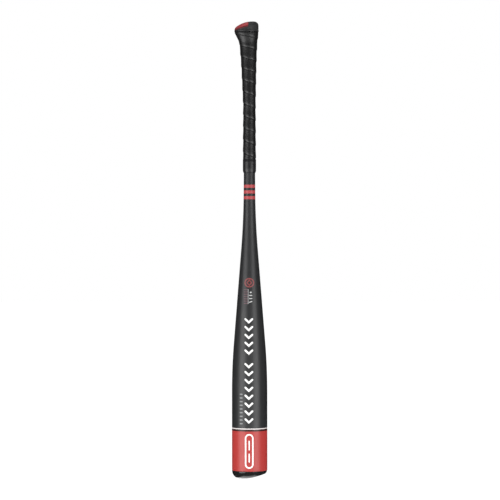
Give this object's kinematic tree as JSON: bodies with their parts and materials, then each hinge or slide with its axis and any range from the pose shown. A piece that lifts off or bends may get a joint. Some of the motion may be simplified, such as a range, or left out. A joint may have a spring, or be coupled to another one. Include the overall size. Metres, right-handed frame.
{
  "type": "weighted training bat",
  "caption": "Full-length weighted baseball bat with a tapered aluminium tube, flared oval knob, taped grip, loaded handle and snapped-in end cap, for swing training.",
  "frame": {"origin": "on the tube's axis, 152.4 mm (6 in) below the knob's end, the pivot that a bat's swing weight is measured about", "axes": "+Z along the axis toward the knob; the knob's flare leans toward -X; +Y completes the frame"},
  "size_m": [0.0647, 0.0648, 0.8382],
  "materials": {
    "tube": "matte",
    "moulding": "satin",
    "inlay": "satin",
    "steel": "satin",
    "elastomer": "matte",
    "grip": "matte",
    "grip_band": "satin",
    "end_cap": "satin"
  },
  "bodies": {
    "root": {"bat_tube": "tube", "handle_moulding": "moulding", "knob_cap": "moulding", "knob_inlay": "inlay", "cap_screw": "steel", "handle_weight": "steel", "weight_cushion": "elastomer", "weight_ring_upper": "elastomer", "weight_ring_lower": "elastomer", "weight_stop": "moulding", "grip_tape": "grip", "finishing_tape": "grip_band", "end_cap": "end_cap", "cap_gasket": "elastomer"}
  },
  "joints": []
}
